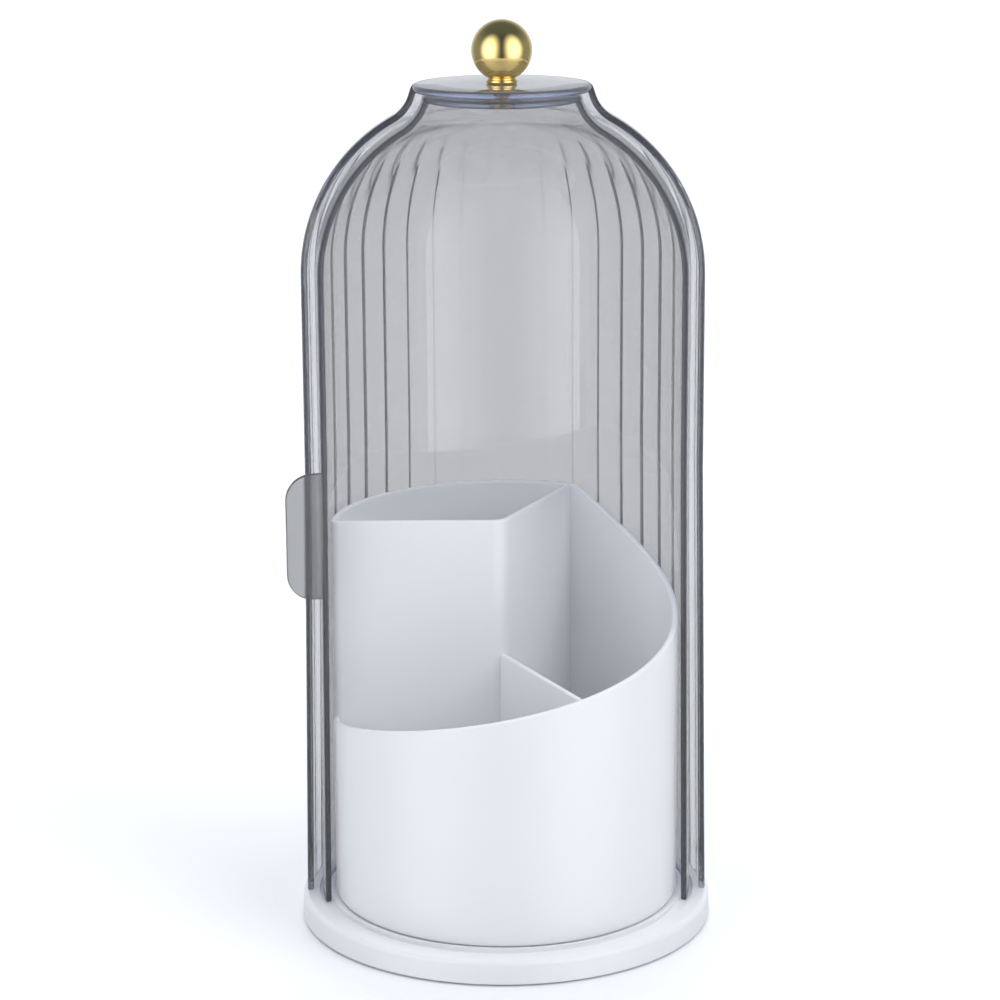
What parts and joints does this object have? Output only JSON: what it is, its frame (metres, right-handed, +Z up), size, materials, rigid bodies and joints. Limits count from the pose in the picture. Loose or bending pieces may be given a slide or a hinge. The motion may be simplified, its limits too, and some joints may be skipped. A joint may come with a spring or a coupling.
{
  "type": "rotating makeup organizer",
  "caption": "Divided bucket on a ball-bearing turntable under a clear fluted dome, with a fixed rear shell, a turning door shell and a ball knob.",
  "frame": {"origin": "centre of the footprint at table level, on the common axis of the tray, the shells and the bucket", "axes": "+Z up along the turning axis, the open front faces -Y, +X to the right seen from the front"},
  "size_m": [0.1627, 0.16, 0.3489],
  "materials": {
    "white_plastic": "white moulded plastic, satin to semi-gloss",
    "clear_plastic": "clear smoke-grey moulded plastic, polished",
    "gold_plate": "polished gold plate",
    "slip_plastic": "natural acetal, smooth",
    "screw_steel": "zinc-plated steel",
    "ball_steel": "polished steel",
    "foot_rubber": "grey non-slip rubber"
  },
  "bodies": {
    "base": {"base_tray": "white_plastic", "foot_front_left": "foot_rubber", "foot_front_right": "foot_rubber", "foot_rear_left": "foot_rubber", "foot_rear_right": "foot_rubber", "rear_shell": "clear_plastic", "knob_ball": "gold_plate", "knob_collar": "gold_plate", "knob_bush": "gold_plate", "knob_screw": "gold_plate", "knob_washer": "gold_plate", "slip_washer": "slip_plastic"},
    "door": {"door_shell": "clear_plastic"},
    "organizer": {"organizer_bucket": "white_plastic", "turntable_disc": "white_plastic", "bucket_screws": "screw_steel", "pivot_washer": "screw_steel", "pivot_screw": "screw_steel"},
    "cage": {"ball_cage": "slip_plastic", "bearing_balls": "ball_steel"}
  },
  "joints": [
    {"name": "door_swing", "type": "hinge", "parent": "base", "child": "door", "pos_m": [0, 0, 0.321], "axis": [0, 0, 1], "range_deg": [-7, 160]},
    {"name": "organizer_spin", "type": "hinge", "parent": "base", "child": "organizer", "pos_m": [0, 0, 0.005], "axis": [0, 0, 1], "continuous": true},
    {"name": "cage_spin", "type": "hinge", "parent": "base", "child": "cage", "pos_m": [0, 0, 0.0064], "axis": [0, 0, 1], "continuous": true}
  ],
  "couplings": [
    {"joint": "cage_spin", "follows": "organizer_spin", "ratio": 0.5}
  ]
}
